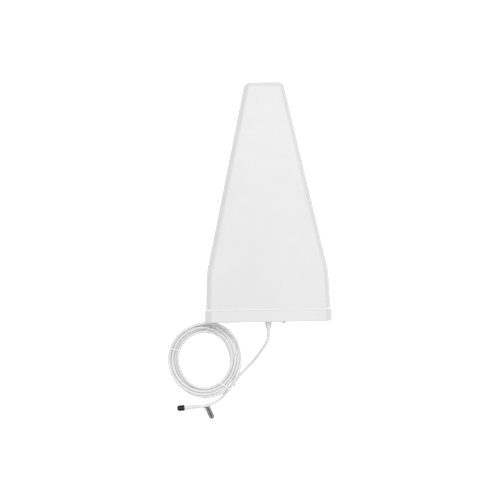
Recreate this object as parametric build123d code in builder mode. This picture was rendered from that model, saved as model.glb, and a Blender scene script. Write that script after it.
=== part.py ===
from build123d import *
from math import cos, pi, radians, sin, tan
import os

# Enclosed yagi (log-periodic) antenna: a moulded radome and a base cap round a two-plate element array,
# with a coaxial lead that leaves the base, lies in a tied coil and ends in a small capped connector.
# Millimetres. +Y runs from the base to the tip, +Z out of the broad front face, and the flat back lies
# on Z = 0. Y = 0 is halfway between the tip and the outer end of the cable gland.

# ---- Driving dimensions: housing ----
body_length = 396.0
gland_out = 13.0
tip_y = (body_length + gland_out) / 2
base_y = tip_y - body_length

radome_wall = 3.0
radome_back = 0.6            # height of the radome's flat back
radome_thick = 61.0          # at the foot
front_draft = 4.0            # the tip is this much thinner
half_at_rim = 102.8
half_at_knee = 100.6
half_at_tip = 32.0
knee_height = 82.0           # above the base
knee_radius = 90.0
tip_corner = 11.0
edge_radius = 10.0

rim_half = 104.9
rim_thick = 64.0
rim_height = 21.0
rim_corner = 13.0
rim_chamfer = 1.8
cap_floor = 4.0
socket_gap = 0.15
base_edge_radius = 1.5
rebate = 1.0                 # the radome's foot is stepped in by this to enter the cap
joint_gap = 0.2              # between the rim and the radome's step
gasket_thick = 1.5
gasket_wide = 1.6
foot_y = base_y + cap_floor + gasket_thick
rim_top_y = base_y + rim_height
gland_z = rim_thick / 2

screw_points = [(x, z) for x in (-50, 50) for z in (8.0, 54.0)] + [(-96.2, 31), (96.2, 31)]
boss_radius = 5.0
boss_height = 32.0
pilot_radius = 1.7
pilot_depth = 22.0
screw_hole = 2.1             # radius, as for the holes below
screw_length = 18.0
head_radius = 3.2
head_recess = 3.4
head_thick = 2.0
recess_depth = 2.4
drive_width = 3.4            # of the heads' cross recess
drive_slot = 0.8
drive_depth = 1.1

insert_spacing_x = 80.0
insert_spacing_z = 30.0
insert_radius = 3.5
insert_bore = 2.1
insert_length = 9.0
insert_boss_radius = 6.0
insert_boss_height = 7.5

vent_x = 25.5
vent_radius = 2.6
vent_out = 4.6
vent_edge = 1.4
vent_stem = 1.75
vent_barb = 2.3
barb_thick = 1.2
vent_bore = 0.7
membrane_radius = 2.2
membrane_thick = 0.3
gland_hole = 4.1
gland_thread = 4.0
locknut_radius = 6.6
locknut_thick = 3.0

# ---- Driving dimensions: element array ----
plate_thick = 1.5
plate_gap = 12.0
plate_corner = 2.0
boom_half = 9.0
array_z = 31.0
lower_plate_z = array_z - plate_gap / 2 - plate_thick
upper_plate_z = array_z + plate_gap / 2
comb_start_y = base_y + 18
comb_end_y = tip_y - 9
element_count = 11
element_ratio = 0.85
apex_y = base_y + 470
first_element = 430.0        # from the apex
first_half_length = 93.0
first_element_width = 9.0
least_element_width = 3.5
feed_hole = 0.7
spacer_rows = [base_y + d for d in (95, 190, 285, 344)]
tip_support_y = base_y + 357
tip_support_size = (46.0, 51.0, 6.0)  # width, height and corner radius
tip_support_length = 8.0
spacer_length = 10.0
spacer_screw_x = 6.3
spacer_screw_radius = 1.25
spacer_head_radius = 2.4
spacer_head_thick = 1.7
spacer_head_edge = 0.5
nut_radius = 2.8             # across the corners, halved
nut_thick = 2.2
fit_gap = 0.1                # round screws, and between sliding fits
short_y = base_y + 50
short_length = 9.0

carrier_boss_radius = 4.0
carrier_boss_height = 6.0
carrier_screw_radius = 1.25
carrier_screw_reach = 8.0
carrier_screw_x = 22.0
carrier_screw_z = 14.0
carrier_foot = (60.0, 44.0, 5.0)     # width, height and corner radius
carrier_foot_thick = 3.0
carrier_column = (24.0, 23.0, 3.0)
carrier_window = 14.0
carrier_top_y = base_y + 34

# ---- Driving dimensions: cable, coil and connector ----
cable_radius = 2.65
inner_cable_z = lower_plate_z + plate_thick + cable_radius
inner_bend = 60.0
strap_thick = 0.8            # of the strap that bonds the braid to the lower plate
strap_wide = 12.0
strap_slot = 4.0             # left open under the cable
strap_length = 5.0
pin_radius = 0.6
pin_reach = 6.0              # from the cable's end to the upright pin
sleeve_length = 11.7

coil_centre = (-108.8, -258.2)
coil_inner = 42.3
coil_outer = 65.3
coil_low = 0.6
coil_high = 11.1
coil_corner = 4.6
tie_thick = 0.6
tie_width = 2.7
tie_left_heading = 160.0     # degrees about the coil's centre
tie_right_heading = -47.0
tie_head = (4.0, 5.0, 0.8)   # width, height and corner radius
tie_head_half = 2.4
tie_head_z = 8.2

tag_width = 9.4
tag_thick = 0.9
loop_length = 3.0
loop_wall = 0.6

connector_heading = 184.0    # degrees, the way the connector points
boot_rear = (-118.0, -336.5, 5.05)
boot_length = 26.5
mouth = boot_length + 0.35   # the dust cap's mouth, from the boot's rear

# The route of the lead, from the sleeve to the coil, and of the tail, from the coil to the boot.
lead_route = [
    (0.0, -216.2, 32.0),
    (-2.2, -227.5, 30.8),
    (-8.8, -238.0, 26.4),
    (-16.8, -249.0, 18.6),
    (-26.5, -261.5, 9.2),
    (-39.2, -274.2, 3.8),
    (-50.6, -286.0, 3.1),
    (-57.8, -294.6, 2.9),
]
tail_route = [
    (-67.9, -306.6, 2.8),
    (-75.6, -317.6, 2.8),
    (-86.5, -327.4, 2.9),
    (-99.5, -333.4, 3.3),
    (-111.5, -336.05, 5.05),
    (-118.0, -336.5, 5.05),
]


def across(y):
    """Plane across the antenna at y: its local x and y are X and Z, and extrude(amount=-h) goes to +Y."""
    return Plane.XZ.offset(-y)


def corner_radii(points):
    """The largest even arcs that a cord's runs allow: 0.45 of the shorter run at each corner."""
    radii = []
    for before, corner, after in zip(points, points[1:], points[2:]):
        run_in = Vector(*corner) - Vector(*before)
        run_out = Vector(*after) - Vector(*corner)
        half_turn = radians(run_in.get_angle(run_out)) / 2
        radii.append(0.45 * min(run_in.length, run_out.length) / tan(half_turn))
    return radii


def cord_tube(points, radius):
    """A cord's plain tube: straight runs joined by tangent arcs."""
    radii = corner_radii(points)
    with BuildPart() as tube:
        with BuildLine() as route:
            FilletPolyline(*points, radius=radii)
        with BuildSketch(Plane(origin=route.line @ 0, z_dir=route.line % 0)):
            Circle(radius)
        sweep()
    length = sum(edge.length for edge in route.edges())
    print("cord radii", [round(r, 1) for r in radii], "length", round(length, 1),
          "volume ratio", round(tube.part.volume / (length * pi * radius ** 2), 4))
    return tube.part


def save(node, name):
    """Labels one finished piece and writes its file."""
    node.label = name
    export_step(node, f"parts/{name}.step")


def radome_form(inset, low_y):
    """The radome's solid form from low_y to the tip, shrunk by inset on every wall."""
    flare = (half_at_rim - half_at_knee) / (knee_height - rim_height)
    half_low = half_at_knee + flare * (base_y + knee_height - low_y)
    knee_y = base_y + knee_height
    corners = [(half_low, low_y), (half_at_knee, knee_y), (half_at_tip, tip_y)]
    outline = corners + [(-x, y) for x, y in reversed(corners)]
    front_z = radome_back + radome_thick
    lean = Vector(0, front_draft, tip_y - foot_y).normalized()
    with BuildPart() as form:
        with BuildSketch(Plane.XY.offset(radome_back + inset)):
            with BuildLine():
                Polyline(*outline, close=True)
            make_face()
            fillet(vertices().group_by(Axis.Y)[1], knee_radius)
            fillet(vertices().group_by(Axis.Y)[-1], tip_corner)
            offset(amount=-inset)
        extrude(amount=radome_thick)
        split(bisect_by=Plane(origin=(0, foot_y, front_z - inset), z_dir=lean), keep=Keep.BOTTOM)
        back_face = faces().sort_by(Axis.Z)[0]
        front_face = faces().sort_by(Axis.Z)[-1]
        foot_face = faces().sort_by(Axis.Y)[0]
        foot_line = foot_face.edges()
        long_edges = (back_face.edges() + front_face.edges()).filter_by(
            lambda edge: all((edge.center() - other.center()).length > 0.01 for other in foot_line)
        )
        fillet(long_edges, edge_radius - inset)
    return form.part


os.makedirs("parts", exist_ok=True)

# ---- Radome ----
neck_half = half_at_rim + fit_gap - rebate
neck_thick = radome_thick - fit_gap - 2 * rebate
neck_mid_z = radome_back + rebate + neck_thick / 2
neck_corner = edge_radius - rebate
outer_form = radome_form(0, foot_y)
inner_form = radome_form(radome_wall, foot_y - 12)

with BuildPart() as radome_shell:
    add(outer_form)
    add(inner_form, mode=Mode.SUBTRACT)
    with BuildSketch(across(foot_y)):
        with Locations((0, neck_mid_z)):
            Rectangle(2.2 * rim_half, 1.4 * rim_thick)
            RectangleRounded(2 * neck_half, neck_thick, neck_corner, mode=Mode.SUBTRACT)
    extrude(amount=-(rim_top_y + joint_gap - foot_y), mode=Mode.SUBTRACT)
    with BuildSketch(across(foot_y)):
        with Locations(*screw_points):
            Circle(boss_radius)
    extrude(amount=-boss_height)
    with BuildSketch(across(foot_y)):
        with Locations(*screw_points):
            Circle(pilot_radius)
    extrude(amount=-pilot_depth, mode=Mode.SUBTRACT)
save(radome_shell.part, "radome_shell")

# ---- Base cap ----
insert_points = [(x * insert_spacing_x / 2, gland_z + z * insert_spacing_z / 2)
                 for x in (-1, 1) for z in (-1, 1)]
carrier_points = [(-carrier_screw_x, gland_z - carrier_screw_z), (carrier_screw_x, gland_z + carrier_screw_z)]
carrier_low_y = base_y + cap_floor + carrier_boss_height

with BuildPart() as base_cap:
    with BuildSketch(across(base_y)):
        with Locations((0, gland_z)):
            RectangleRounded(2 * rim_half, rim_thick, rim_corner)
    extrude(amount=-rim_height)
    chamfer(faces().sort_by(Axis.Y)[-1].edges(), rim_chamfer)
    fillet(faces().sort_by(Axis.Y)[0].edges(), base_edge_radius)
    with BuildSketch(across(base_y + cap_floor)):
        with Locations((0, neck_mid_z)):
            RectangleRounded(2 * (neck_half + socket_gap), neck_thick + 2 * socket_gap,
                             neck_corner + socket_gap)
    extrude(amount=-rim_height, mode=Mode.SUBTRACT)
    with BuildSketch(across(base_y + cap_floor)):
        with Locations(*insert_points):
            Circle(insert_boss_radius)
    extrude(amount=-insert_boss_height)
    with BuildSketch(across(base_y + cap_floor)):
        with Locations(*carrier_points):
            Circle(carrier_boss_radius)
    extrude(amount=-carrier_boss_height)
    with BuildSketch(across(base_y)):
        with Locations(*insert_points):
            Circle(insert_radius)
    extrude(amount=-insert_length, mode=Mode.SUBTRACT)
    with BuildSketch(across(carrier_low_y)):
        with Locations(*carrier_points):
            Circle(carrier_screw_radius)
    extrude(amount=carrier_screw_reach, mode=Mode.SUBTRACT)
    with BuildSketch(across(base_y)):
        with Locations(*screw_points):
            Circle(head_recess)
    extrude(amount=-recess_depth, mode=Mode.SUBTRACT)
    with BuildSketch(across(base_y)):
        with Locations(*screw_points):
            Circle(screw_hole)
        with Locations((0, gland_z)):
            Circle(gland_hole)
        with Locations((vent_x, gland_z)):
            Circle(vent_stem + 0.05)
    extrude(amount=-cap_floor, mode=Mode.SUBTRACT)
save(base_cap.part, "base_cap")

with BuildPart() as base_gasket:
    with BuildSketch(across(base_y + cap_floor)):
        with Locations((0, neck_mid_z)):
            RectangleRounded(2 * neck_half, neck_thick, neck_corner)
            RectangleRounded(2 * (neck_half - gasket_wide), neck_thick - 2 * gasket_wide,
                             neck_corner - gasket_wide, mode=Mode.SUBTRACT)
    extrude(amount=-gasket_thick)
save(base_gasket.part, "base_gasket")

head_y = base_y + recess_depth - head_thick
with BuildPart() as base_screws:
    with BuildSketch(across(head_y)):
        with Locations(*screw_points):
            Circle(head_radius)
    extrude(amount=-head_thick)
    with BuildSketch(across(base_y + recess_depth)):
        with Locations(*screw_points):
            Circle(pilot_radius)
    extrude(amount=-screw_length)
    with BuildSketch(across(head_y)):
        with Locations(*screw_points):
            Rectangle(drive_width, drive_slot)
            Rectangle(drive_slot, drive_width)
    extrude(amount=-drive_depth, mode=Mode.SUBTRACT)
save(base_screws.part, "base_screws")

with BuildPart() as bracket_inserts:
    with BuildSketch(across(base_y)):
        with Locations(*insert_points):
            Circle(insert_radius)
            Circle(insert_bore, mode=Mode.SUBTRACT)
    extrude(amount=-insert_length)
save(bracket_inserts.part, "bracket_inserts")

# ---- Vent plug: a mushroom that snaps into the cap, with its breathing disc inside ----
with BuildPart() as vent_plug:
    with BuildSketch(across(base_y)):
        with Locations((vent_x, gland_z)):
            Circle(vent_radius)
    extrude(amount=vent_out)
    fillet(edges().filter_by(GeomType.CIRCLE).sort_by(Axis.Y)[0], vent_edge)
    with BuildSketch(across(base_y)):
        with Locations((vent_x, gland_z)):
            Circle(vent_stem)
    extrude(amount=-cap_floor)
    with BuildSketch(across(base_y + cap_floor)):
        with Locations((vent_x, gland_z)):
            Circle(vent_barb)
    extrude(amount=-barb_thick)
    with BuildSketch(across(base_y + cap_floor + barb_thick)):
        with Locations((vent_x, gland_z)):
            Circle(vent_bore)
    extrude(amount=cap_floor + vent_out / 2, mode=Mode.SUBTRACT)
save(vent_plug.part, "vent_plug")

with BuildPart() as vent_membrane:
    with BuildSketch(across(base_y + cap_floor + barb_thick)):
        with Locations((vent_x, gland_z)):
            Circle(membrane_radius)
    extrude(amount=-membrane_thick)
save(vent_membrane.part, "vent_membrane")


# ---- Element plates ----
feed_y = comb_end_y - 12     # where the cable's braid ends
boom_screw_points = [(x, y) for x in (-spacer_screw_x, spacer_screw_x) for y in spacer_rows + [short_y]]


def element_rows():
    """Y, half length and width of each element, shrinking towards the tip by one ratio."""
    rows = []
    for n in range(element_count):
        shrink = element_ratio ** n
        width = least_element_width + (first_element_width - least_element_width) * shrink
        rows.append((apex_y - first_element * shrink, first_half_length * shrink, width))
    return rows


def comb(low_z, first_side):
    """One stamped plate: a boom strip with elements to alternate sides."""
    with BuildPart() as plate:
        with BuildSketch(Plane.XY.offset(low_z)):
            with Locations((0, (comb_start_y + comb_end_y) / 2)):
                RectangleRounded(2 * boom_half, comb_end_y - comb_start_y, plate_corner)
            for n, (y, half_length, width) in enumerate(element_rows()):
                side = first_side * (-1) ** n
                with Locations((side * half_length / 2, y)):
                    RectangleRounded(half_length, width, width / 4)
            with Locations(*boom_screw_points):
                Circle(spacer_screw_radius + fit_gap, mode=Mode.SUBTRACT)
            with Locations((0, feed_y + pin_reach)):
                Circle(feed_hole, mode=Mode.SUBTRACT)
        extrude(amount=plate_thick)
    return plate.part


lower_comb = comb(lower_plate_z, 1)
save(lower_comb, "lower_comb")
upper_comb = comb(upper_plate_z, -1)
save(upper_comb, "upper_comb")


cable_channel = 2 * cable_radius + 0.6


def spacer_block(rows, length):
    """Blocks between the plates, with a channel for the cable and two screw holes each."""
    with BuildPart() as blocks:
        with BuildSketch(Plane.XY.offset(array_z - plate_gap / 2)):
            with Locations(*[(0, y) for y in rows]):
                Rectangle(2 * boom_half, length)
                with Locations((-spacer_screw_x, 0), (spacer_screw_x, 0)):
                    Circle(spacer_screw_radius + fit_gap, mode=Mode.SUBTRACT)
        extrude(amount=plate_gap)
        with BuildSketch(Plane.XY.offset(array_z - plate_gap / 2)):
            with Locations(*[(0, y) for y in rows]):
                Rectangle(cable_channel, length + 1)
        extrude(amount=cable_channel, mode=Mode.SUBTRACT)
    return blocks.part


boom_spacers = spacer_block(spacer_rows, spacer_length)
save(boom_spacers, "boom_spacers")
shorting_block = spacer_block([short_y], short_length)
save(shorting_block, "shorting_block")

with BuildPart() as boom_screws:
    with BuildSketch(Plane.XY.offset(upper_plate_z + plate_thick)):
        with Locations(*boom_screw_points):
            Circle(spacer_head_radius)
    extrude(amount=spacer_head_thick)
    fillet(faces().sort_by(Axis.Z)[-1].edges().filter_by(GeomType.CIRCLE), spacer_head_edge)
    with BuildSketch(Plane.XY.offset(upper_plate_z + plate_thick)):
        with Locations(*boom_screw_points):
            Circle(spacer_screw_radius)
    extrude(amount=-(plate_gap + 2 * plate_thick + nut_thick + 1))
save(boom_screws.part, "boom_screws")

with BuildPart() as boom_nuts:
    with BuildSketch(Plane.XY.offset(lower_plate_z)):
        with Locations(*boom_screw_points):
            RegularPolygon(nut_radius, 6)
            Circle(spacer_screw_radius, mode=Mode.SUBTRACT)
    extrude(amount=-nut_thick)
save(boom_nuts.part, "boom_nuts")

# ---- Boom carrier: a foot on the cap that grips both plates ----
with BuildPart() as boom_carrier:
    with BuildSketch(across(carrier_low_y)):
        with Locations((0, gland_z)):
            RectangleRounded(*carrier_foot)
            Rectangle(carrier_window, carrier_window + 2, mode=Mode.SUBTRACT)
        with Locations(*carrier_points):
            Circle(carrier_screw_radius + 0.35, mode=Mode.SUBTRACT)
        with Locations(*insert_points):
            Circle(insert_boss_radius + 0.6, mode=Mode.SUBTRACT)
    extrude(amount=-carrier_foot_thick)
    with BuildSketch(across(carrier_low_y)):
        with Locations((0, array_z)):
            RectangleRounded(*carrier_column)
            Rectangle(carrier_window, plate_gap, mode=Mode.SUBTRACT)
    extrude(amount=-(carrier_top_y - carrier_low_y))
    with BuildSketch(across(comb_start_y)):
        with Locations((0, lower_plate_z + plate_thick / 2), (0, upper_plate_z + plate_thick / 2)):
            Rectangle(2 * (boom_half + fit_gap), plate_thick + fit_gap)
    extrude(amount=-(carrier_top_y + 1 - comb_start_y), mode=Mode.SUBTRACT)
save(boom_carrier.part, "boom_carrier")

with BuildPart() as carrier_screws:
    with BuildSketch(across(carrier_low_y + carrier_foot_thick)):
        with Locations(*carrier_points):
            Circle(2 * carrier_screw_radius)
    extrude(amount=-1.4 * carrier_screw_radius)
    with BuildSketch(across(carrier_low_y + carrier_foot_thick)):
        with Locations(*carrier_points):
            Circle(carrier_screw_radius)
    extrude(amount=carrier_foot_thick + carrier_screw_reach - 2)
save(carrier_screws.part, "carrier_screws")

# ---- Cable inside, from the gland to the feed point ----
inner_route = [
    (0, base_y - gland_out, gland_z),
    (0, base_y + 14, gland_z),
    (0, base_y + 34, inner_cable_z),
    (0, feed_y, inner_cable_z),
]
with BuildPart() as coax_inner:
    with BuildLine() as inner_path:
        FilletPolyline(*inner_route, radius=inner_bend)
    with BuildSketch(Plane(origin=inner_path.line @ 0, z_dir=inner_path.line % 0)):
        Circle(cable_radius)
    sweep()
save(coax_inner.part, "coax_inner")

plate_top_z = lower_plate_z + plate_thick
with BuildPart() as braid_strap:
    with BuildSketch(across(feed_y - 8)):
        with Locations((0, inner_cable_z)):
            Circle(cable_radius + strap_thick)
        with Locations((0, plate_top_z + strap_thick / 2)):
            Rectangle(strap_wide, strap_thick)
        with Locations((0, inner_cable_z)):
            Circle(cable_radius, mode=Mode.SUBTRACT)
        with Locations((0, plate_top_z - 3)):
            Rectangle(strap_wide + 4, 6, mode=Mode.SUBTRACT)
            Rectangle(strap_slot, 8, mode=Mode.SUBTRACT)
    extrude(amount=-strap_length)
save(braid_strap.part, "braid_strap")

with BuildPart() as feed_pin:
    with BuildSketch(across(feed_y)):
        with Locations((0, inner_cable_z)):
            Circle(pin_radius)
    extrude(amount=-(pin_reach + pin_radius))
    with BuildSketch(Plane.XY.offset(inner_cable_z - pin_radius)):
        with Locations((0, feed_y + pin_reach)):
            Circle(pin_radius)
    extrude(amount=upper_plate_z + plate_thick + 0.8 - inner_cable_z + pin_radius)
save(feed_pin.part, "feed_pin")

with BuildPart() as tip_support:
    with BuildSketch(across(tip_support_y)):
        with Locations((0, radome_back + radome_wall + tip_support_size[1] / 2 + fit_gap)):
            RectangleRounded(*tip_support_size)
        with Locations((0, array_z)):
            Rectangle(2 * boom_half + 0.4, plate_gap + 2 * plate_thick + fit_gap, mode=Mode.SUBTRACT)
    extrude(amount=-tip_support_length)
save(tip_support.part, "tip_support")


# ---- Cable gland on the base ----
def turned(points, plane):
    """A turned piece: its outline as (distance along the plane's x, radius) turned about that x axis."""
    with BuildPart() as piece:
        with BuildSketch(plane):
            with BuildLine():
                Polyline(*points, close=True)
            make_face()
        revolve(axis=Axis(plane.origin, plane.x_dir))
    return piece.part


gland_plane = Plane(origin=(0, base_y, gland_z), x_dir=(0, -1, 0), z_dir=(1, 0, 0))

gland_washer = turned([(0, 4.1), (0.8, 4.1), (0.8, 5.7), (0, 5.7)], gland_plane)
save(gland_washer, "gland_washer")

gland_body = turned(
    [(-9.5, 2.85), (-9.5, 4.0), (0.8, 4.0), (0.8, 5.5), (4.4, 5.5), (4.8, 5.1), (4.8, 4.3), (8.6, 4.3),
     (8.6, 3.5), (3.4, 3.5), (3.4, 2.85)], gland_plane)
save(gland_body, "gland_body")

gland_seal = turned([(3.4, cable_radius), (3.4, 3.5), (9.4, 3.5), (9.4, cable_radius)], gland_plane)
save(gland_seal, "gland_seal")

gland_dome_nut = turned(
    [(4.9, 4.35), (4.9, 5.4), (9.8, 5.35), (11.6, 4.9), (12.7, 4.5), (13.0, 4.1), (13.0, cable_radius + 0.1),
     (9.5, cable_radius + 0.1), (9.5, 3.55), (8.7, 3.55), (8.7, 4.35)], gland_plane)
save(gland_dome_nut, "gland_dome_nut")

with BuildPart() as gland_locknut:
    with BuildSketch(across(base_y + cap_floor)):
        with Locations((0, gland_z)):
            RegularPolygon(locknut_radius, 6)
            Circle(gland_thread, mode=Mode.SUBTRACT)
    extrude(amount=-locknut_thick)
save(gland_locknut.part, "gland_locknut")

cable_sleeve = turned(
    [(13.0, 0), (13.0, 3.75), (14.2, 3.75), (14.5, 3.5), (21.6, 3.3), (21.9, 3.6), (23.4, 3.6),
     (23.8, 3.2), (gland_out + sleeve_length, 3.0), (gland_out + sleeve_length, 0)], gland_plane)
save(cable_sleeve, "cable_sleeve")

# ---- Cable outside ----
cable_lead = cord_tube(lead_route, cable_radius)
save(cable_lead, "cable_lead")
cable_tail = cord_tube(tail_route, cable_radius)
save(cable_tail, "cable_tail")

coil_middle = (coil_inner + coil_outer) / 2
coil_wide = coil_outer - coil_inner
coil_tall = coil_high - coil_low
coil_axis = Axis((*coil_centre, 0), (0, 0, 1))


def coil_section(heading):
    """The upright plane through the coil's axis at a heading; local x is the radius, local y is Z."""
    out = Vector(cos(radians(heading)), sin(radians(heading)), 0)
    return Plane(origin=(*coil_centre, 0), x_dir=out, z_dir=out.cross(Vector(0, 0, 1)))


with BuildPart() as cable_coil:
    with BuildSketch(coil_section(0)):
        with Locations((coil_middle, (coil_low + coil_high) / 2)):
            RectangleRounded(coil_wide, coil_tall, coil_corner)
    revolve(axis=coil_axis)
save(cable_coil.part, "cable_coil")


def coil_tie(heading):
    """A thin band round the coil's section, a few degrees long."""
    span = tie_width / coil_middle * 180 / pi
    with BuildPart() as tie:
        with BuildSketch(coil_section(heading - span / 2)):
            with Locations((coil_middle, (coil_low + coil_high) / 2)):
                RectangleRounded(coil_wide + 2 * tie_thick, coil_tall + 2 * tie_thick,
                                 coil_corner + tie_thick)
                RectangleRounded(coil_wide, coil_tall, coil_corner, mode=Mode.SUBTRACT)
        revolve(axis=coil_axis, revolution_arc=span)
    return tie.part


coil_tie_left = coil_tie(tie_left_heading)
save(coil_tie_left, "coil_tie_left")

with BuildPart() as coil_tie_right:
    add(coil_tie(tie_right_heading))
    with BuildSketch(coil_section(tie_right_heading)):
        with Locations((coil_outer + 0.5 * tie_thick + tie_head[0] / 2, tie_head_z)):
            RectangleRounded(*tie_head)
    extrude(amount=tie_head_half, both=True)
save(coil_tie_right.part, "coil_tie_right")

# ---- Tag on the tail: a flat flag and the loop that holds it on the cable ----
loop_centre = Vector(-105.9, -334.81, 4.23)
loop_along = (Vector(*tail_route[4]) - Vector(*tail_route[3])).normalized()
tag_top = Vector(-107.2, -335.4, 0)
tag_end = Vector(-97.4, -358.6, 0)
tag_along = (tag_end - tag_top).normalized()
with BuildPart() as cable_tag:
    with BuildSketch(Plane(origin=(tag_top + tag_end) / 2, x_dir=tag_along, z_dir=(0, 0, 1))):
        SlotOverall((tag_end - tag_top).length, tag_width)
    extrude(amount=tag_thick)
    with BuildSketch(Plane(origin=(loop_centre.X, loop_centre.Y, 0.2), x_dir=loop_along, z_dir=(0, 0, 1))):
        Rectangle(loop_length, loop_length)
    extrude(amount=tag_thick + 0.4)
    with BuildSketch(Plane(origin=loop_centre - loop_along * loop_length / 2, z_dir=loop_along)):
        Circle(cable_radius + loop_wall)
    extrude(amount=loop_length)
    with BuildSketch(Plane(origin=loop_centre - loop_along * loop_length, z_dir=loop_along)):
        Circle(cable_radius)
    extrude(amount=2 * loop_length, mode=Mode.SUBTRACT)
save(cable_tag.part, "cable_tag")

# ---- Connector: a small threaded plug with a coupling nut, a boot and a dust cap ----
along = Vector(cos(radians(connector_heading)), sin(radians(connector_heading)), 0)
connector_plane = Plane(origin=boot_rear, x_dir=along, z_dir=along.cross(Vector(0, 0, 1)))


def on_connector(points):
    """A turned piece of the connector: its outline as (distance from the dust cap's mouth, radius)."""
    return turned([(mouth + s, r) for s, r in points], connector_plane)


connector_boot = on_connector(
    [(-mouth, 0), (-mouth, 2.95), (-mouth + 0.4, 3.2), (-9.4, 3.75), (-0.75, 3.98), (-0.35, 3.7),
     (-0.35, 3.28), (-9.2, 3.28), (-9.2, 0)])
save(connector_boot, "connector_boot")

crimp_ferrule = on_connector([(-9.2, 2.75), (-9.2, 3.2), (-1.7, 3.2), (-1.7, 2.75)])
save(crimp_ferrule, "crimp_ferrule")

connector_body = on_connector(
    [(-9.2, 2.05), (-9.2, 2.75), (-1.7, 2.75), (-1.7, 3.2), (0.9, 3.2), (0.9, 2.4), (3.4, 2.4), (3.4, 2.75),
     (4.6, 2.75), (4.6, 2.3), (8.6, 2.3), (8.6, 2.05)])
save(connector_body, "connector_body")

connector_dielectric = on_connector([(-9.2, 0.46), (-9.2, 2.05), (4.8, 2.05), (4.8, 0.46)])
save(connector_dielectric, "connector_dielectric")

centre_pin = on_connector([(-9.2, 0), (-9.2, 0.46), (7.0, 0.46), (7.5, 0.2), (7.5, 0)])
save(centre_pin, "centre_pin")

snap_ring = on_connector([(2.15, 2.4), (2.15, 3.0), (2.75, 3.0), (2.75, 2.4)])
save(snap_ring, "snap_ring")

coupling_gasket = on_connector([(4.6, 2.3), (4.6, 2.8), (5.3, 2.8), (5.3, 2.3)])
save(coupling_gasket, "coupling_gasket")

nut_bore = on_connector([(1.0, 0), (1.0, 2.52), (2.0, 2.52), (2.0, 3.12), (2.9, 3.12), (2.9, 2.9),
                         (9.4, 2.9), (10.0, 3.3), (10.0, 0)])
nut_turning = on_connector([(1.2, 0), (1.2, 4.1), (1.5, 4.45), (9.5, 4.45), (9.8, 4.1), (9.8, 0)])
nut_start = 1.2              # from the dust cap's mouth
nut_length = 8.6
nut_flat = 4.0               # half of the width across its flats
nut_face = Plane(origin=Vector(*boot_rear) + along * (mouth + nut_start), z_dir=along)
with BuildPart() as coupling_nut:
    with BuildSketch(nut_face):
        RegularPolygon(nut_flat, 6, major_radius=False)
    extrude(amount=nut_length)
    add(nut_turning, mode=Mode.INTERSECT)
    add(nut_bore, mode=Mode.SUBTRACT)
save(coupling_nut.part, "coupling_nut")

dust_cap = on_connector(
    [(0, 4.56), (0, 5.0), (0.3, 5.05), (1.6, 5.05), (1.9, 4.9), (10.9, 4.85), (11.8, 4.45), (12.1, 3.8),
     (12.1, 0), (10.5, 0), (10.5, 4.56)])
save(dust_cap, "dust_cap")
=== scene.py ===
from math import cos, hypot, pi, radians, sin, sqrt

import bmesh
import bpy
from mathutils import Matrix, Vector


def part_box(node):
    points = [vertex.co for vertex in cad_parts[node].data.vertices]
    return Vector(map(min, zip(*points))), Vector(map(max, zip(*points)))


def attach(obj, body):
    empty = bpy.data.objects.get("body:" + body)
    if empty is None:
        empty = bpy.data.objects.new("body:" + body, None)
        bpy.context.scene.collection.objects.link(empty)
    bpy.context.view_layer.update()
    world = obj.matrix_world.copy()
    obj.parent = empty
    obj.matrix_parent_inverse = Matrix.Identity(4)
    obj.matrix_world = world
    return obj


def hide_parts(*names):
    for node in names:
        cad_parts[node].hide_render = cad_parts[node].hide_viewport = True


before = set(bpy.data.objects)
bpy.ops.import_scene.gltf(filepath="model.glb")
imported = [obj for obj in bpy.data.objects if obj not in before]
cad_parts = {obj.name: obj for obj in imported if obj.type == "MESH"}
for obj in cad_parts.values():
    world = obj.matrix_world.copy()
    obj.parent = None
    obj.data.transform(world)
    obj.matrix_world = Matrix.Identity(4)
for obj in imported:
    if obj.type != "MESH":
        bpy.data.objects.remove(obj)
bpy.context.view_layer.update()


def level(degrees):
    """The level direction at a heading, counted from +X towards +Y."""
    return Vector((cos(radians(degrees)), sin(radians(degrees)), 0))


def left_of(direction):
    """The level direction a quarter turn left of a level direction."""
    return Vector((-direction.y, direction.x, 0))


# Metres, in the frame of the CAD model: +Y to the antenna's tip, +Z up from its flat back on the floor.
MM = 0.001
UP = Vector((0, 0, 1))
CABLE_R = 2.65 * MM
BASE_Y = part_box("base_cap")[0].y
GLAND_Z = (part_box("gland_body")[0].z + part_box("gland_body")[1].z) / 2
BOOT_REAR = Vector((-0.1180, -0.3365, 0.00505))
ALONG = level(184)               # from the boot's rear to the dust cap

# ---- Camera: straight above the antenna, and turned a little ----
CAMERA_AT = Vector((-0.0283, -0.0728, 1.700))
CAMERA_ROLL = radians(-1.1)
CAMERA_LENS = 71.9
VIEW_DEPTH = 20
camera = bpy.data.objects.new("camera", bpy.data.cameras.new("camera"))
camera.location = CAMERA_AT
camera.rotation_euler = (0, 0, CAMERA_ROLL)
camera.data.lens = CAMERA_LENS
camera.data.clip_end = VIEW_DEPTH
bpy.context.scene.collection.objects.link(camera)
bpy.context.scene.camera = camera

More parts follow.
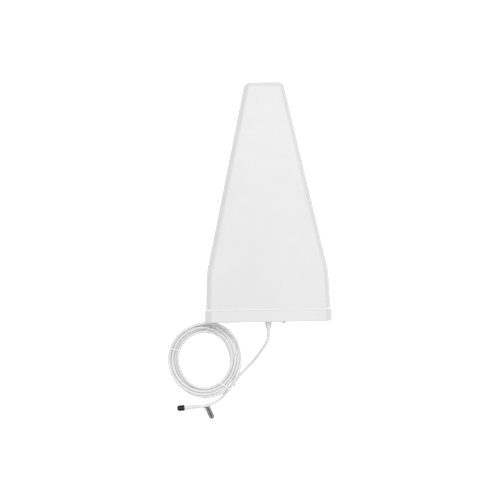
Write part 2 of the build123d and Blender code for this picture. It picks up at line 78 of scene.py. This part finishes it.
# ---- Cord: one smooth line from the sleeve, round the coil and out to the boot ----
LEAD = [
    (0.0, -0.2120, 0.0320),
    (0.0, -0.2162, 0.0320),
    (-0.0030, -0.2275, 0.0308),
    (-0.0098, -0.2380, 0.0264),
    (-0.0174, -0.2490, 0.0186),
    (-0.0265, -0.2615, 0.0092),
    (-0.0392, -0.2742, 0.0038),
    (-0.0506, -0.2860, 0.0031),
    (-0.0578, -0.2946, 0.0029),
]
TAIL = [
    (-0.0756, -0.3176, 0.0046),
    (-0.0865, -0.3274, 0.0029),
    (-0.0995, -0.3334, 0.0033),
    (-0.1115, -0.33605, 0.00505),
    (-0.1180, -0.3365, 0.00505),
    (-0.1220, -0.33678, 0.00505),
]
COIL_CENTRE = Vector((-0.1088, -0.2582, 0))
COIL_START = -45                 # heading of the coil's first point, in degrees; the turns run clockwise
STEP = 15                        # degrees between the coil's points
PER_TURN = 360 // STEP
PITCH = 2 * CABLE_R - 0.06 * MM  # between turns that press on each other
# The radius of each turn in millimetres, every 30 degrees, from heading 300 down to heading -30
TURNS = [
    (62.8, 62.2, 60.4, 59.6, 59.8, 60.3, 60.8, 60.6, 57.6, 54.2, 51.5, 50.4),
    (50.6, 52.6, 53.4, 53.7, 54.4, 54.9, 55.5, 55.4, 52.2, 48.5, 46.0, 46.6),
    (48.4, 48.6, 46.6, 44.5, 45.6, 47.2, 47.8, 49.0, 47.6, 45.6, 44.6, 46.8),
    (49.4, 50.2, 49.2, 49.0, 49.6, 50.0, 50.8, 53.9, 60.0, 60.0, 57.0, 55.8),
    (55.9, 57.1, 58.4, 58.9, 59.6, 60.5, 61.0, 61.6, 63.9, 63.6, 61.5, 61.0)]
RADIUS_STEP = 30                 # degrees between the radii of a turn
FIRST_RADIUS = 1                 # the coil's point at which the first radius is
LAY_ORDER = (3, 2, 0, 1, 4)      # turns in the order in which they lie on each other, lowest first
# Where the last turn climbs over the lead: heading, radius and height, in degrees and millimetres
CLIMB = [(1, 61.8, 3.2), (-13, 60.9, 5.2), (-26, 60.7, 8.6), (-38, 61.4, 9.4), (-49, 64.1, 8.4)]
LAST_POINTS = 4                  # points of the last turn that the climb takes the place of

END_GAP = 0.001                  # keeps a place on a knot curve inside its last span
RELAX_ROUNDS = 80
SIDEWAYS = 0.25                  # share of a push between two turns that moves them sideways
LEAST_APART = 0.1 * MM
CURVE_STEPS = 6                  # from one point of a curve to the next
TUBE_ROUNDING = 6                # gives a curve's tube 16 sides


def ease(value, start, end):
    """0 before start, 1 after end, and a smooth rise between."""
    t = min(max((value - start) / (end - start), 0), 1)
    return t * t * (3 - 2 * t)


def knot_curve(knots, place):
    """A smooth curve through evenly spaced knots (Catmull-Rom), at a place counted in knots."""
    place = min(max(place, 0), len(knots) - 1 - END_GAP)
    i = int(place)
    t = place - i
    before, start, end, after = (knots[min(max(i + k, 0), len(knots) - 1)] for k in (-1, 0, 1, 2))
    return start + 0.5 * t * (end - before + t * (2 * before - 5 * start + 4 * end - after
                                                  + t * (3 * (start - end) + after - before)))


def rest_turns(radii):
    """Heights of the coil's points: each turn rests on the floor or on the turns laid before it."""
    heights = [CABLE_R] * len(radii)
    for step in range(PER_TURN):
        laid = []
        for turn in LAY_ORDER:
            here = turn * PER_TURN + step
            for other in laid:
                gap = abs(radii[here] - radii[other])
                if gap < PITCH:
                    heights[here] = max(heights[here], heights[other] + sqrt(PITCH ** 2 - gap ** 2))
            laid.append(here)
    return heights


def push_apart(radii, heights, low, high):
    """Moves two turns that are closer than they can be away from each other, at one heading."""
    across, up = radii[high] - radii[low], heights[high] - heights[low]
    apart = hypot(across, up)
    if apart < PITCH:
        push = (PITCH - apart) / (2 * max(apart, LEAST_APART))
        radii[high] += across * push * SIDEWAYS
        radii[low] -= across * push * SIDEWAYS
        heights[high] = max(heights[high] + up * push, CABLE_R)
        heights[low] = max(heights[low] - up * push, CABLE_R)


def relax(radii, heights):
    """Evens the heights along the cable, and keeps the turns out of each other."""
    for _ in range(RELAX_ROUNDS):
        before, after = heights[:1] + heights, heights[1:] + heights[-1:]
        heights = [max((a + 2 * b + c) / 4, CABLE_R) for a, b, c in zip(before, heights, after)]
        for step in range(PER_TURN):
            for low in range(step, len(radii), PER_TURN):
                for high in range(low + PER_TURN, len(radii), PER_TURN):
                    push_apart(radii, heights, low, high)
    return radii, heights


def on_coil(heading, radius, height):
    angle = radians(heading)
    return COIL_CENTRE + Vector((radius * cos(angle), radius * sin(angle), height))


def coil_points():
    """The points of the coil's turns, up to the climb."""
    knots = [radius * MM for turn in TURNS for radius in turn]
    count = len(TURNS) * PER_TURN
    radii = [knot_curve(knots, (step - FIRST_RADIUS) * STEP / RADIUS_STEP) for step in range(count)]
    radii, heights = relax(radii, rest_turns(radii))
    swell = 1 / (0.75 + 0.25 * cos(radians(STEP)))    # a spline runs inside its own control points
    return [on_coil(COIL_START - STEP * step, radii[step] * swell, heights[step])
            for step in range(count - LAST_POINTS)]


CROSSING = [on_coil(heading, radius * MM, height * MM) for heading, radius, height in CLIMB]
ROUTE = [Vector(p) for p in LEAD] + coil_points() + CROSSING + [Vector(p) for p in TAIL]


def nurbs_curve(name, points, radius):
    """A new tube, or a bare line where the radius is 0, along a smooth curve with these control points."""
    curve = bpy.data.curves.new(name, "CURVE")
    curve.dimensions = "3D"
    spline = curve.splines.new("NURBS")
    spline.points.add(len(points) - 1)
    for point, place in zip(spline.points, points):
        point.co = (*place, 1)
    spline.order_u = 3
    spline.use_endpoint_u = True
    spline.resolution_u = CURVE_STEPS
    curve.bevel_depth = radius
    curve.bevel_resolution = TUBE_ROUNDING
    curve.use_fill_caps = radius > 0
    curve.resolution_u = CURVE_STEPS
    piece = bpy.data.objects.new(name, curve)
    bpy.context.scene.collection.objects.link(piece)
    return piece


def spline_points(points):
    """Points that a NURBS spline through these control points passes, in order."""
    bare = nurbs_curve("bare_route", points, 0)
    bpy.context.view_layer.update()
    mesh = bpy.data.meshes.new_from_object(bare.evaluated_get(bpy.context.evaluated_depsgraph_get()))
    places = [vertex.co.copy() for vertex in mesh.vertices]
    bpy.data.objects.remove(bare)
    bpy.data.meshes.remove(mesh)
    return places


cable = nurbs_curve("coax_cable", ROUTE, CABLE_R)
line = spline_points(ROUTE)

# ---- Mesh helpers ----
SHARP = radians(35)              # a wider angle between faces is shaded as an edge
SIDES = 64                       # of a turned piece
BLOCK_PROFILE = 0.6              # roundness of a block's bevels


def mesh_piece(name, build, sharp=SHARP):
    """A new object from a function that fills a bmesh."""
    bm = bmesh.new()
    build(bm)
    bmesh.ops.recalc_face_normals(bm, faces=bm.faces)
    mesh = bpy.data.meshes.new(name)
    bm.to_mesh(mesh)
    bm.free()
    piece = bpy.data.objects.new(name, mesh)
    bpy.context.scene.collection.objects.link(piece)
    for face in mesh.polygons:
        face.use_smooth = True
    mesh.set_sharp_from_angle(angle=sharp)
    return piece


def ring_strip(bm, rings, closed=False):
    """Joins a list of vertex rings into a skin, and closes its ends unless it is a loop of rings."""
    pairs = list(zip(rings, rings[1:])) + ([(rings[-1], rings[0])] if closed else [])
    for first, second in pairs:
        count = len(first)
        for i in range(count):
            j = (i + 1) % count
            bm.faces.new((first[i], first[j], second[j], second[i]))
    if not closed:
        bm.faces.new(list(reversed(rings[0])))
        bm.faces.new(rings[-1])


def lathe(name, outline, origin, direction, sides=SIDES, wave=None):
    """A turned piece: outline is (distance, radius) along direction, in millimetres.

    wave(distance, angle), in millimetres too, adds to the radius.
    """
    direction = direction.normalized()
    side = direction.cross(UP).normalized()
    up = side.cross(direction)

    def build(bm):
        rings = []
        for distance, radius in outline:
            ring = []
            for i in range(sides):
                angle = 2 * pi * i / sides
                r = (radius + (wave(distance, angle) if wave else 0)) * MM
                offset = side * (r * cos(angle)) + up * (r * sin(angle))
                ring.append(bm.verts.new(origin + direction * (distance * MM) + offset))
            rings.append(ring)
        ring_strip(bm, rings)
    return mesh_piece(name, build)


def block(name, place, direction, size, bevel, segments, taper=0.0, sharp=SHARP):
    """A rounded block: size is along direction, beside it and up, and taper narrows its upper half."""
    beside = left_of(direction)

    def build(bm):
        bmesh.ops.create_cube(bm, size=1)
        bmesh.ops.bevel(bm, geom=bm.edges[:], offset=bevel, segments=segments, profile=BLOCK_PROFILE,
                        affect="EDGES")
        for vertex in bm.verts:
            narrow = 1 - taper * max(vertex.co.z, 0)
            x, y, z = vertex.co.x * size[0] * narrow, vertex.co.y * size[1] * narrow, vertex.co.z * size[2]
            vertex.co = place + direction * x + beside * y + UP * z
    return mesh_piece(name, build, sharp)


# ---- Materials ----
DRIFT_DETAIL, GLOSS_DETAIL, GRAIN_DETAIL = 4.0, 3.0, 2.0
GLOSS_SCALE = 6                  # of the uneven gloss, as a multiple of the colour drift's
DRIFT_START, DRIFT_END = 0.3, 0.7
BUMP_STRENGTH = 0.6
SCATTER_DEPTH = 1.5 * MM


def set_inputs(node, values):
    for socket, value in values.items():
        node.inputs[socket].default_value = value


def new_material(name):
    """A new material and its shader."""
    material = bpy.data.materials.new(name)
    material.use_nodes = True
    return material, material.node_tree.nodes["Principled BSDF"]


def noise(tree, coords, scale, detail, stretch=(1, 1, 1)):
    mapping = tree.nodes.new("ShaderNodeMapping")
    set_inputs(mapping, {"Scale": stretch})
    texture = tree.nodes.new("ShaderNodeTexNoise")
    set_inputs(texture, {"Scale": scale, "Detail": detail})
    tree.links.new(coords, mapping.inputs["Vector"])
    tree.links.new(mapping.outputs["Vector"], texture.inputs["Vector"])
    return texture.outputs["Fac"]


def ramp(tree, value, low, high):
    """A colour ramp between two colours."""
    node = tree.nodes.new("ShaderNodeValToRGB")
    for element, colour, place in zip(node.color_ramp.elements, (low, high), (DRIFT_START, DRIFT_END)):
        element.color = (*colour, 1)
        element.position = place
    tree.links.new(value, node.inputs["Fac"])
    return node.outputs["Color"]


def surface(name, colours, rough, grain=900, grain_height=0.02, cloud=14, stretch=(1, 1, 1), metallic=0.0,
            coat=0.0, sheen=0.0, ior=1.5, subsurface=0.0):
    """A finished material: drifting colour, uneven gloss, and a fine moulded or drawn grain.

    colours and rough are each the least and the most, grain and cloud are the scales of the grain's noise and
    the drift's, and grain_height is in millimetres.
    """
    material, shader = new_material(name)
    tree = material.node_tree
    coords = tree.nodes.new("ShaderNodeTexCoord").outputs["Object"]
    drift = noise(tree, coords, cloud, DRIFT_DETAIL)
    tree.links.new(ramp(tree, drift, *colours), shader.inputs["Base Color"])
    fine = noise(tree, coords, grain, GRAIN_DETAIL, stretch)
    gloss = tree.nodes.new("ShaderNodeMapRange")
    set_inputs(gloss, {"To Min": rough[0], "To Max": rough[1]})
    tree.links.new(noise(tree, coords, cloud * GLOSS_SCALE, GLOSS_DETAIL, stretch), gloss.inputs["Value"])
    tree.links.new(gloss.outputs["Result"], shader.inputs["Roughness"])
    bump = tree.nodes.new("ShaderNodeBump")
    set_inputs(bump, {"Strength": BUMP_STRENGTH, "Distance": grain_height * MM})
    tree.links.new(fine, bump.inputs["Height"])
    tree.links.new(bump.outputs["Normal"], shader.inputs["Normal"])
    set_inputs(shader, {"Metallic": metallic, "Coat Weight": coat, "Sheen Weight": sheen, "IOR": ior,
                        "Subsurface Weight": subsurface, "Subsurface Scale": SCATTER_DEPTH})
    return material


def greys(value, spread=0.012):
    """Two close greys for a drifting colour."""
    return (value - spread,) * 3, (value + spread,) * 3


radome_white = surface("radome_white", greys(0.655), (0.34, 0.46), grain=1400, grain_height=0.012, cloud=9)
cap_white = surface("cap_white", greys(0.668), (0.32, 0.44), grain=1400, grain_height=0.012, cloud=12)
jacket_white = surface("jacket_white", greys(0.70, 0.02), (0.18, 0.3), grain=700, grain_height=0.02,
                       cloud=60, coat=0.35)
# The gland's white is painted lighter than the cap's, to cancel the shade the base casts on it.
gland_white_painted_light = surface("gland_white_painted_light", greys(0.76, 0.02), (0.3, 0.45), grain=1600, grain_height=0.015, cloud=80)
sleeve_white = surface("sleeve_white", greys(0.70, 0.02), (0.42, 0.6), grain=1100, grain_height=0.03,
                       cloud=90, sheen=0.1)
# The vent plug is light plastic, painted grey to stand for the shade it lies in under the base.
vent_grey_painted_shade = surface("vent_grey_painted_shade", greys(0.60, 0.02), (0.4, 0.5), grain=1500, grain_height=0.02, cloud=120)
tie_white = surface("tie_white", greys(0.80, 0.01), (0.28, 0.4), grain=900, grain_height=0.02, cloud=100,
                    subsurface=0.1)
# The bead's white is lighter than the cap's: a painted highlight on the rim's chamfer.
bead_painted_highlight = surface("bead_painted_highlight", greys(0.79, 0.01), (0.35, 0.5), grain=900, grain_height=0.02, cloud=60)
buckle_grey = surface("buckle_grey", greys(0.60, 0.02), (0.28, 0.4), grain=900, grain_height=0.02, cloud=100)
cap_black = surface("cap_black", ((0.003, 0.003, 0.0035), (0.007, 0.007, 0.008)), (0.26, 0.4), grain=1500,
                    grain_height=0.02, cloud=160, coat=0.05, ior=1.4)
seal_black = surface("seal_black", ((0.02, 0.02, 0.02), (0.035, 0.035, 0.035)), (0.6, 0.8), grain=1200,
                     grain_height=0.03, cloud=120)
tag_grey = surface("tag_grey", greys(0.26, 0.04), (0.35, 0.55), grain=900, grain_height=0.03, cloud=150)
# Dark for the printed marks on the flag, and for the strip of painted shadow under the cable.
tag_print_and_shadow = surface("tag_print_and_shadow", greys(0.010, 0.004), (0.4, 0.6), grain=900, grain_height=0.03, cloud=250)
steel = surface("steel", greys(0.55, 0.03), (0.22, 0.38), grain=600, grain_height=0.01, cloud=90,
                stretch=(1, 12, 1), metallic=1.0)
brass = surface("brass", ((0.62, 0.44, 0.18), (0.72, 0.52, 0.23)), (0.2, 0.35), grain=800,
                grain_height=0.01, cloud=110, stretch=(1, 8, 1), metallic=1.0)
gold = surface("gold", ((0.83, 0.6, 0.22), (0.9, 0.67, 0.27)), (0.12, 0.22), grain=900,
               grain_height=0.005, cloud=110, metallic=1.0)
nickel = surface("nickel", ((0.62, 0.6, 0.56), (0.7, 0.68, 0.63)), (0.14, 0.26), grain=900,
                 grain_height=0.006, cloud=120, metallic=1.0)
aluminium = surface("aluminium", greys(0.72, 0.03), (0.28, 0.42), grain=500, grain_height=0.02, cloud=30,
                    stretch=(8, 1, 1), metallic=1.0)
nylon = surface("nylon", ((0.68, 0.66, 0.58), (0.74, 0.72, 0.65)), (0.4, 0.55), grain=900,
                grain_height=0.02, cloud=60, subsurface=0.1)
foam = surface("foam", greys(0.78, 0.05), (0.8, 0.95), grain=500, grain_height=0.25, cloud=200)
film = surface("film", greys(0.8, 0.02), (0.6, 0.8), grain=1800, grain_height=0.03, cloud=300)
insulator = surface("insulator", greys(0.86, 0.01), (0.25, 0.35), grain=900, grain_height=0.01, cloud=100)
tinned = surface("tinned", ((0.5, 0.48, 0.42), (0.6, 0.57, 0.5)), (0.3, 0.5), grain=1500,
                 grain_height=0.05, cloud=150, metallic=1.0)

FINISH = {
    radome_white: ["radome_shell"],
    cap_white: ["base_cap"],
    jacket_white: ["cable_lead", "cable_coil", "cable_tail", "coax_inner"],
    gland_white_painted_light: ["gland_body", "gland_dome_nut", "gland_locknut"],
    sleeve_white: ["cable_sleeve", "connector_boot"],
    vent_grey_painted_shade: ["vent_plug"],
    tie_white: ["coil_tie_left", "coil_tie_right"],
    cap_black: ["dust_cap"],
    seal_black: ["base_gasket", "gland_washer", "gland_seal", "coupling_gasket"],
    tag_grey: ["cable_tag"],
    steel: ["base_screws", "carrier_screws", "boom_screws", "boom_nuts", "snap_ring"],
    brass: ["bracket_inserts", "feed_pin"],
    gold: ["centre_pin"],
    nickel: ["connector_body", "coupling_nut"],
    aluminium: ["upper_comb", "lower_comb", "shorting_block"],
    nylon: ["boom_spacers", "boom_carrier"],
    foam: ["tip_support"],
    film: ["vent_membrane"],
    insulator: ["connector_dielectric"],
    tinned: ["braid_strap", "crimp_ferrule"],
}
for material, names in FINISH.items():
    for name in names:
        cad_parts[name].data.materials.clear()
        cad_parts[name].data.materials.append(material)


def dress(piece, material, body, slot, *nodes):
    """Gives a new piece its material and the body it rides on, and hides the CAD nodes it stands for; slot is
    not used.
    """
    piece.data.materials.clear()
    piece.data.materials.append(material)
    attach(piece, body)
    if nodes:
        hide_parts(*nodes)


dress(cable, jacket_white, "antenna", "cable_jacket", "cable_lead", "cable_coil", "cable_tail")

# ---- Coil ties: a thin band drawn tight round the strands in one upright plane ----
LEFT_TIE, LEFT_OUT = Vector((-0.1588, -0.2386, 0)), level(163)
RIGHT_TIE, RIGHT_OUT = Vector((-0.0735, -0.3035, 0)), level(-36)
TIE_REACH = 16 * MM              # strands farther from the band's place than this aren't in it
BAND_WIDE = 2.0 * MM
BAND_THICK = 0.5 * MM
BAND_ROOM = 1.04                 # the band's room beside its strands, as a multiple of their radius
BAND_STEPS = 96
# The band's section: from its inner (0) to its outer (1) outline, and across its width
BAND_SECTION = [(0, -0.5), (0.75, -0.5), (1, -0.34), (1, 0.34), (0.75, 0.5), (0, 0.5)]
BAND_SHARP = radians(30)
STRAND_SIDES = 28
PARALLEL = 1e-12                 # a smaller cross product counts as parallel
EDGE_SLIP = 1e-6                 # how far past an edge's ends a ray still meets it, in edge lengths
BUCKLE_AT = Vector((-0.0592, -0.3003, 0.0061))
BUCKLE_SIZE = (4.2 * MM, 5.4 * MM, 3.4 * MM)


def strands_in(place, out):
    """Where the cable crosses the upright plane through place along out, as (distance, height)."""
    across = left_of(out)
    found = []
    for a, b in zip(line, line[1:]):
        side_a, side_b = (a - place).dot(across), (b - place).dot(across)
        if side_a * side_b <= 0 and side_a != side_b:
            spot = a.lerp(b, side_a / (side_a - side_b)) - place
            if abs(spot.dot(out)) < TIE_REACH:
                found.append((spot.dot(out), spot.z))
    return found


def hull(points):
    """Convex outline of flat points, counter-clockwise."""
    points = sorted(set(points))

    def half(ordered):
        chain = []
        for p in ordered:
            while len(chain) > 1 and ((chain[-1][0] - chain[-2][0]) * (p[1] - chain[-2][1])
                                      - (chain[-1][1] - chain[-2][1]) * (p[0] - chain[-2][0])) <= 0:
                chain.pop()
            chain.append(p)
        return chain[:-1]
    return half(points) + half(points[::-1])


def on_outline(outline, middle, angle):
    """The outline's point that a ray from its middle at this angle meets."""
    ray = Vector((cos(angle), sin(angle)))
    for (ax, az), (bx, bz) in zip(outline, outline[1:] + outline[:1]):
        ex, ez = bx - ax, bz - az
        cross = ray.x * ez - ray.y * ex
        if abs(cross) < PARALLEL:
            continue
        dx, dz = ax - middle.x, az - middle.y
        t, s = (dx * ez - dz * ex) / cross, (dx * ray.y - dz * ray.x) / cross
        if t > 0 and -EDGE_SLIP <= s <= 1 + EDGE_SLIP:
            return middle + ray * t
    return middle


def tie_band(name, place, out):
    """The band follows the outline of its strands, with rounded outer edges."""
    across = left_of(out)
    strands = strands_in(place, out)
    circle = [(cos(2 * pi * i / STRAND_SIDES), sin(2 * pi * i / STRAND_SIDES)) for i in range(STRAND_SIDES)]
    inner, outer = (hull([(r + (CABLE_R * BAND_ROOM + thick) * c, z + (CABLE_R + thick) * s)
                          for r, z in strands for c, s in circle]) for thick in (0, BAND_THICK))
    middle = Vector((sum(p[0] for p in inner) / len(inner), sum(p[1] for p in inner) / len(inner)))

    def build(bm):
        rings = []
        for i in range(BAND_STEPS):
            angle = 2 * pi * i / BAND_STEPS
            low, high = on_outline(inner, middle, angle), on_outline(outer, middle, angle)
            ring = []
            for rise, side in BAND_SECTION:
                p = low.lerp(high, rise)
                ring.append(bm.verts.new(place + out * p.x + UP * max(p.y, 0) + across * (side * BAND_WIDE)))
            rings.append(ring)
        ring_strip(bm, rings, closed=True)
    return mesh_piece(name, build, BAND_SHARP)


left_band = tie_band("tie_band_left", LEFT_TIE, LEFT_OUT)
dress(left_band, tie_white, "antenna", "tie", "coil_tie_left")
right_band = tie_band("tie_band_right", RIGHT_TIE, RIGHT_OUT)
dress(right_band, tie_white, "antenna", "tie", "coil_tie_right")
head = block("tie_buckle", BUCKLE_AT, RIGHT_OUT, BUCKLE_SIZE, bevel=0.16, segments=3, taper=0.25,
             sharp=BAND_SHARP)
dress(head, buckle_grey, "antenna", "tie")

# ---- Cable entry: ribbed dome nut and ringed sleeve ----
OUTWARD = Vector((0, -1, 0))
GLAND_AT = Vector((0, BASE_Y, GLAND_Z))
DOME_SIDES = 144
RIB_COUNT, RIB_HEIGHT, RIB_BLUNT = 18, 0.3, 0.6
RIB_SPAN = (5.0, 5.6, 9.7, 10.6)     # where the ribs start, are full, fade and end, in millimetres


def ripple(count, angle):
    """Goes from 1 to 0 and back, count times round a piece."""
    return 0.5 + 0.5 * cos(count * angle)


def between(distance, start, full, fading, end):
    """1 from full to fading, 0 outside start and end, and smooth in between."""
    return ease(distance, start, full) * (1 - ease(distance, fading, end))


def grip_ribs(distance, angle):
    """Rounded ribs round the dome nut, cut into its outline."""
    return RIB_HEIGHT * between(distance, *RIB_SPAN) * (ripple(RIB_COUNT, angle) ** RIB_BLUNT - 1)


dome_outline = [(4.9, 4.9), (5.05, 5.3), (5.3, 5.4), (6.0, 5.42), (7.0, 5.42), (8.5, 5.4), (9.6, 5.38),
                (10.2, 5.3), (10.8, 5.15), (11.4, 4.95), (12.0, 4.72), (12.5, 4.5), (12.85, 4.25),
                (13.0, 3.9)]
dome = lathe("gland_dome_ribbed", dome_outline, GLAND_AT, OUTWARD, DOME_SIDES, grip_ribs)
dress(dome, gland_white_painted_light, "antenna", "gland_plastic", "gland_dome_nut")

sleeve_outline = [(12.9, 3.0), (13.0, 3.05), (13.35, 3.05), (13.45, 3.4), (13.7, 3.52), (14.1, 3.5),
                  (14.3, 3.36), (14.7, 3.34), (17.0, 3.34), (19.5, 3.3), (21.9, 3.26), (22.1, 3.06),
                  (22.4, 3.02), (22.6, 3.3), (22.9, 3.42), (23.4, 3.4), (23.7, 3.2), (23.8, 2.9),
                  (24.2, 2.84), (24.7, 2.76)]
sleeve = lathe("sleeve_ringed", sleeve_outline, GLAND_AT, OUTWARD)
dress(sleeve, sleeve_white, "antenna", "sleeve", "cable_sleeve")

# ---- Connector: tapered boot and moulded dust cap ----
CAP_MOUTH = BOOT_REAR + ALONG * (26.85 * MM)     # the cap's open rim, just past the boot
CAP_SIDES = 96
FLUTE_COUNT, FLUTE_DEPTH = 24, 0.16
FLUTE_SPAN = (2.0, 3.0, 9.0, 10.5)

boot_outline = [(0.0, 2.72), (0.25, 2.98), (0.8, 3.12), (4, 3.2), (8, 3.3), (12, 3.45), (16, 3.62),
                (20, 3.78), (24, 3.92), (25.4, 3.98), (26.1, 3.94), (26.45, 3.7), (26.5, 3.4)]
boot = lathe("boot_tapered", boot_outline, BOOT_REAR, ALONG)
dress(boot, sleeve_white, "antenna", "sleeve", "connector_boot")


def cap_flutes(distance, angle):
    """Fine flutes along the cap's side, between its lip and its rounded end."""
    return -FLUTE_DEPTH * between(distance, *FLUTE_SPAN) * ripple(FLUTE_COUNT, angle)


# The cap is open at its mouth, so its outline starts at the closed end of its bore.
cap_outline = [(10.3, 0.3), (10.3, 3.2), (9.6, 4.3), (0.5, 4.56), (0.0, 4.7), (0.0, 4.95), (0.25, 5.05),
               (1.5, 5.05), (1.75, 4.95), (2.0, 4.88), (6.0, 4.88), (8.2, 4.84), (9.6, 4.7), (10.6, 4.35),
               (11.4, 3.7), (11.85, 2.9), (12.08, 1.8), (12.1, 0.3)]
cap = lathe("dust_cap_moulded", cap_outline, CAP_MOUTH, ALONG, CAP_SIDES, cap_flutes)
dress(cap, cap_black, "dust_cap", "cap_rubber", "dust_cap")

# ---- Tag: a bevelled flag with a dark printed spine, the loop that holds it, and a strip of painted shadow under the cable ----
TAG_TOP = Vector((-0.1072, -0.3354, 0))
TAG_END = Vector((-0.0974, -0.3586, 0))
TAG_ALONG = (TAG_END - TAG_TOP).normalized()
TAG_ACROSS = left_of(TAG_ALONG)
TAG_MIDDLE = (TAG_TOP + TAG_END) / 2
TAG_HALF_LENGTH = (TAG_END - TAG_TOP).length / 2
TAG_HALF_WIDTH = 4.7 * MM
TAG_THICK = 0.9 * MM
TAG_BEVEL = 0.3 * MM
# The flag's edge: height, and how far in from its outline
TAG_SECTION = [(0, 0), (TAG_THICK - TAG_BEVEL, 0), (TAG_THICK - 0.3 * TAG_BEVEL, 0.3 * TAG_BEVEL),
               (TAG_THICK, TAG_BEVEL)]
TAG_SHARP = radians(25)
TAG_STEPS = 48
# The marks on the flag: distance along it and across it, length and width, in millimetres
SPINE = [(-8.6, 0.1, 3.7, 2.2), (-4.7, 0.0, 3.3, 2.4), (-0.9, 0.2, 3.5, 2.1), (2.9, 0.0, 3.2, 2.4),
         (6.4, 0.2, 3.0, 2.2), (9.6, 0.0, 2.5, 2.0)]
DASHES = [(along, 2.3, 0.5, 0.5) for along in (-7.0, -4.7, -3.0, -0.9, 1.2, 3.5, 5.4, 7.5)]
MARK_THICK = 0.12 * MM
# Place and size of the strip of painted shadow under the cable's lower edge, by the flag's top.
TAG_SHADOW_AT = Vector((-0.1104, -0.3388, 0.0018))
TAG_SHADOW_SIZE = (7.2 * MM, 1.5 * MM, 0.8 * MM)
LOOP_AT = Vector((-0.1059, -0.33481, 0.00423))
LOOP_ALONG = (Vector(TAIL[4]) - Vector(TAIL[3])).normalized()
LOOP_SIDES = 48


def on_tag(along, across, height):
    return TAG_MIDDLE + TAG_ALONG * along + TAG_ACROSS * across + UP * height


def build_flag(bm):
    """A flat strip with round ends and bevelled upper edges."""
    straight = TAG_HALF_LENGTH - TAG_HALF_WIDTH
    rings = []
    for height, inset in TAG_SECTION:
        radius = TAG_HALF_WIDTH - inset
        ring = []
        for i in range(TAG_STEPS):
            angle = 2 * pi * i / TAG_STEPS
            x, y = radius * cos(angle), radius * sin(angle)
            ring.append(bm.verts.new(on_tag(x + straight if x >= 0 else x - straight, y, height)))
        rings.append(ring)
    ring_strip(bm, rings)


def build_marks(bm):
    """Small raised bars on the flag."""
    for along, beside, length, width in SPINE + DASHES:
        for vertex in bmesh.ops.create_cube(bm, size=1)["verts"]:
            x, y, z = vertex.co
            vertex.co = on_tag((x * length + along) * MM, (y * width + beside) * MM,
                               TAG_THICK + z * MARK_THICK)


tag_plate = mesh_piece("tag_flag", build_flag, TAG_SHARP)
dress(tag_plate, tag_grey, "antenna", "tag", "cable_tag")
marks = mesh_piece("tag_marks", build_marks)
dress(marks, tag_print_and_shadow, "antenna", "tag")
# A dark strip under the cable at the flag's top: painted shadow of the loop and the flag, not a part.
tag_painted_shadow = block("tag_painted_shadow", TAG_SHADOW_AT, LOOP_ALONG, TAG_SHADOW_SIZE, bevel=0.15, segments=2)
dress(tag_painted_shadow, tag_print_and_shadow, "antenna", "tag")

loop_outline = [(-1.5, 2.7), (-1.5, 3.1), (-1.3, 3.25), (1.3, 3.25), (1.5, 3.1), (1.5, 2.7)]
tag_loop = lathe("tag_loop", loop_outline, LOOP_AT, LOOP_ALONG, LOOP_SIDES)
dress(tag_loop, jacket_white, "antenna", "tag")

# ---- Joint of radome and cap: a white bead over the rim's chamfer, running out on the radome's face, painted lighter than the cap's white as a highlight ----
RIM_TOP = BASE_Y + 21.0 * MM         # the end of the cap's rim, towards the antenna's tip
RADOME_OUTLINE = (102.8 * MM, 0.6 * MM, 61.6 * MM, 11 * MM)     # half width, low z, high z, corner radius
RIM_OUTLINE = (104.9 * MM, 0.15 * MM, 64.0 * MM, 13 * MM)
# The bead's section: millimetres up from the rim, and how far out from the radome (0) to the rim's face (1)
BEAD = [(-2.5, 0.5), (-2.45, 1.02), (-1.3, 0.78), (-0.2, 0.42), (0.4, 0.2), (1.0, 0.04), (1.2, -0.3)]
CORNER_STEPS = 12
BEAD_SHARP = radians(50)


def outline_point(outline, quarter, angle):
    """A point of a rounded rectangle in the plane of x and z, by its corner and the angle round it."""
    half, low, high, corner = outline
    side_x, side_z = ((1, 1), (-1, 1), (-1, -1), (1, -1))[quarter]
    z = high - corner if side_z > 0 else low + corner
    return Vector((side_x * (half - corner) + corner * cos(angle), 0, z + corner * sin(angle)))


def build_bead(bm):
    rings = []
    for quarter in range(4):
        for i in range(CORNER_STEPS + 1):
            angle = pi / 2 * (quarter + i / CORNER_STEPS)
            inner = outline_point(RADOME_OUTLINE, quarter, angle)
            outer = outline_point(RIM_OUTLINE, quarter, angle)
            rings.append([bm.verts.new(inner.lerp(outer, out) + Vector((0, RIM_TOP + up * MM, 0)))
                          for up, out in BEAD])
    ring_strip(bm, rings, closed=True)


dress(mesh_piece("joint_bead", build_bead, BEAD_SHARP), bead_painted_highlight, "antenna", "cap")

# ---- Floor and light ----
FLOOR_SIZE = 30
FLOOR_Z = -0.1 * MM
FLOOR_LOOK = {
    "Base Color": (0.55, 0.55, 0.55, 1),
    "Roughness": 0.9,
    "Specular IOR Level": 0.1,
    "Emission Color": (1, 1, 1, 1),
    "Emission Strength": 0.84,
}
WORLD_LOOK = {"Color": (1, 1, 1, 1), "Strength": 0.52}
KEY_AT = Vector((0.5, 1.0, 5.0))
KEY_TARGET = Vector((0, -0.1, 0))
KEY_SIZE = 3.4
KEY_POWER = 184

bpy.ops.mesh.primitive_plane_add(size=FLOOR_SIZE, location=(0, 0, FLOOR_Z))
floor = bpy.context.object
floor.name = "floor"
floor_white, floor_shader = new_material("floor_white")
set_inputs(floor_shader, FLOOR_LOOK)
floor.data.materials.append(floor_white)

world = bpy.data.worlds.new("studio")
world.use_nodes = True
set_inputs(world.node_tree.nodes["Background"], WORLD_LOOK)
bpy.context.scene.world = world

key = bpy.data.lights.new("key", "AREA")
key.shape = "SQUARE"
key.size = KEY_SIZE
key.energy = KEY_POWER
lamp = bpy.data.objects.new("key", key)
lamp.location = KEY_AT
lamp.rotation_euler = (KEY_TARGET - KEY_AT).to_track_quat("-Z", "Y").to_euler()
bpy.context.scene.collection.objects.link(lamp)
bpy.context.scene.view_settings.view_transform = "Standard"
